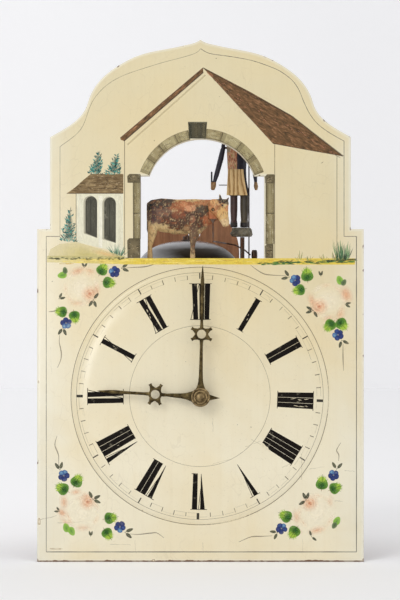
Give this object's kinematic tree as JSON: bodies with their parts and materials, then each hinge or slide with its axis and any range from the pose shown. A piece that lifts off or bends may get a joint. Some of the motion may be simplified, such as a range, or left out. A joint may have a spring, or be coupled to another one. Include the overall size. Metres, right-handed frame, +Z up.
{
  "type": "shield clock with automaton",
  "caption": "Wall clock with a painted shield board and arched window, wooden striking movement, bell, ox and butcher figures, hands, doors and pendulum.",
  "frame": {"origin": "on the wall plane, the flat back of the back board, on the axis of the hands", "axes": "+Z up, -Y out of the wall through the dial, +X to the right as one looks at the dial"},
  "size_m": [0.29, 0.1623, 0.4635],
  "materials": {
    "lacquered_board": "gloss oil lacquer over lime-wood, aged cream with painted decoration",
    "beech": "raw beech, hand planed",
    "stained_board": "softwood, reddish brown, vertical grain",
    "brass": "turned, slightly tarnished",
    "hand_brass": "dark aged brass",
    "iron_wire": "dark drawn iron",
    "steel": "dull grey",
    "ox_paint": "carved wood, patchy cream and brown paint",
    "coat_paint": "carved wood, dark paint",
    "apron_paint": "carved wood, ochre paint",
    "skin_paint": "carved wood, flesh paint",
    "ground_paint": "carved wood, grey-green paint"
  },
  "bodies": {
    "case": {"shield_board": "lacquered_board", "upper_batten": "beech", "lower_batten": "beech", "top_plate": "beech", "bottom_plate": "beech", "front_plate": "beech", "middle_plate": "beech", "rear_plate": "beech", "back_board": "stained_board", "left_door_pin": "iron_wire", "right_door_pin": "iron_wire", "motion_stud": "steel", "count_stud": "steel", "pendulum_hook": "iron_wire", "bell": "steel", "bell_post": "iron_wire", "ox_shelf": "beech", "ox_body": "ox_paint", "figure_post": "iron_wire", "figure_platform": "ground_paint", "figure_body": "coat_paint", "figure_apron": "apron_paint", "figure_head": "skin_paint"},
    "left_door": {"left_door": "beech"},
    "right_door": {"right_door": "beech"},
    "minute_hand": {"minute_hand": "hand_brass", "hand_collet": "hand_brass", "cannon_wheel": "brass"},
    "motion_wheel": {"motion_wheel": "brass"},
    "hour_hand": {"hour_hand": "hand_brass", "hour_wheel": "brass"},
    "going_great": {"going_great_wheel": "brass", "centre_arbor": "steel", "going_chain_wheel": "brass"},
    "second": {"second_wheel": "brass", "second_arbor": "steel"},
    "escape": {"escape_wheel": "brass", "escape_arbor": "steel"},
    "pendulum": {"anchor": "steel", "anchor_arbor": "steel", "pendulum_rod": "iron_wire", "pendulum_bob": "brass"},
    "strike_great": {"strike_great_wheel": "brass", "strike_arbor": "steel", "strike_chain_wheel": "brass"},
    "locking": {"locking_wheel": "brass", "locking_arbor": "steel"},
    "warning": {"warning_wheel": "brass", "warning_arbor": "steel"},
    "fly": {"fly": "brass"},
    "count_wheel": {"count_wheel": "brass"},
    "hammer": {"hammer_arbor": "iron_wire", "hammer": "iron_wire"},
    "pull_wire": {"pull_wire": "iron_wire"},
    "arms": {"shoulder_arbor": "iron_wire", "right_arm": "coat_paint", "left_arm": "coat_paint"},
    "ox_link": {"ox_link": "iron_wire"},
    "ox_head": {"ox_head": "ox_paint"}
  },
  "joints": [
    {"name": "left_door_hinge", "type": "hinge", "parent": "case", "child": "left_door", "pos_m": [-0.0576, -0.0149, 0], "axis": [0, 0, -1], "range_deg": [0, 95]},
    {"name": "right_door_hinge", "type": "hinge", "parent": "case", "child": "right_door", "pos_m": [0.0576, -0.0149, 0], "axis": [0, 0, 1], "range_deg": [0, 95]},
    {"name": "minute_turn", "type": "hinge", "parent": "case", "child": "minute_hand", "pos_m": [0, 0, 0], "axis": [0, 1, 0], "continuous": true},
    {"name": "motion_turn", "type": "hinge", "parent": "case", "child": "motion_wheel", "pos_m": [0, 0, -0.0252], "axis": [0, 1, 0], "continuous": true},
    {"name": "hour_turn", "type": "hinge", "parent": "case", "child": "hour_hand", "pos_m": [0, 0, 0], "axis": [0, 1, 0], "continuous": true},
    {"name": "second_turn", "type": "hinge", "parent": "case", "child": "second", "pos_m": [0, 0, 0.0273], "axis": [0, 1, 0], "continuous": true},
    {"name": "going_great_turn", "type": "hinge", "parent": "case", "child": "going_great", "pos_m": [0, 0, 0], "axis": [0, 1, 0], "continuous": true},
    {"name": "escape_turn", "type": "hinge", "parent": "case", "child": "escape", "pos_m": [0, 0, 0.0532], "axis": [0, 1, 0], "continuous": true},
    {"name": "pendulum_swing", "type": "hinge", "parent": "case", "child": "pendulum", "pos_m": [0, 0, 0.0737], "axis": [0, 1, 0], "range_deg": [-4, 4]},
    {"name": "warning_turn", "type": "hinge", "parent": "case", "child": "warning", "pos_m": [0, 0, 0.0144], "axis": [0, 1, 0], "continuous": true},
    {"name": "locking_turn", "type": "hinge", "parent": "case", "child": "locking", "pos_m": [0, 0, -0.0066], "axis": [0, 1, 0], "continuous": true},
    {"name": "strike_great_turn", "type": "hinge", "parent": "case", "child": "strike_great", "pos_m": [0, 0, -0.036], "axis": [0, 1, 0], "continuous": true},
    {"name": "count_turn", "type": "hinge", "parent": "case", "child": "count_wheel", "pos_m": [0.0196, 0, -0.036], "axis": [0, 1, 0], "continuous": true},
    {"name": "fly_turn", "type": "hinge", "parent": "case", "child": "fly", "pos_m": [0, 0, 0.0333], "axis": [0, 1, 0], "continuous": true},
    {"name": "hammer_lift", "type": "hinge", "parent": "case", "child": "hammer", "pos_m": [0.032, 0, 0.052], "axis": [0, 1, 0], "range_deg": [0, 8], "stiffness_Nm_per_rad": 0.15, "springref_deg": -28.65},
    {"name": "pull_wire_slide", "type": "slide", "parent": "case", "child": "pull_wire", "axis": [0, 0, -1], "range_m": [0, 0.0018]},
    {"name": "arms_swing", "type": "hinge", "parent": "case", "child": "arms", "pos_m": [0.0335, -0.086, 0.2255], "axis": [-1, 0, 0], "range_deg": [0, 39.5]},
    {"name": "ox_link_slide", "type": "slide", "parent": "case", "child": "ox_link", "axis": [1, 0, 0], "range_m": [0, 0.0102]},
    {"name": "ox_head_nod", "type": "hinge", "parent": "case", "child": "ox_head", "pos_m": [0.0113, 0, 0.1666], "axis": [0, -1, 0], "range_deg": [0, 20.5]}
  ],
  "couplings": [
    {"joint": "motion_turn", "follows": "minute_turn", "ratio": -0.5},
    {"joint": "hour_turn", "follows": "minute_turn", "ratio": 0.083333},
    {"joint": "going_great_turn", "follows": "second_turn", "ratio": -0.083333},
    {"joint": "escape_turn", "follows": "second_turn", "ratio": -11.333},
    {"joint": "locking_turn", "follows": "warning_turn", "ratio": -0.11111},
    {"joint": "strike_great_turn", "follows": "warning_turn", "ratio": 0.008547},
    {"joint": "count_turn", "follows": "warning_turn", "ratio": -0.0014245},
    {"joint": "fly_turn", "follows": "warning_turn", "ratio": -8},
    {"joint": "pull_wire_slide", "follows": "hammer_lift", "m_per_rad": 0.0127},
    {"joint": "arms_swing", "follows": "hammer_lift", "ratio": 4.88},
    {"joint": "ox_link_slide", "follows": "hammer_lift", "m_per_rad": 0.072},
    {"joint": "ox_head_nod", "follows": "hammer_lift", "ratio": 2.54}
  ]
}
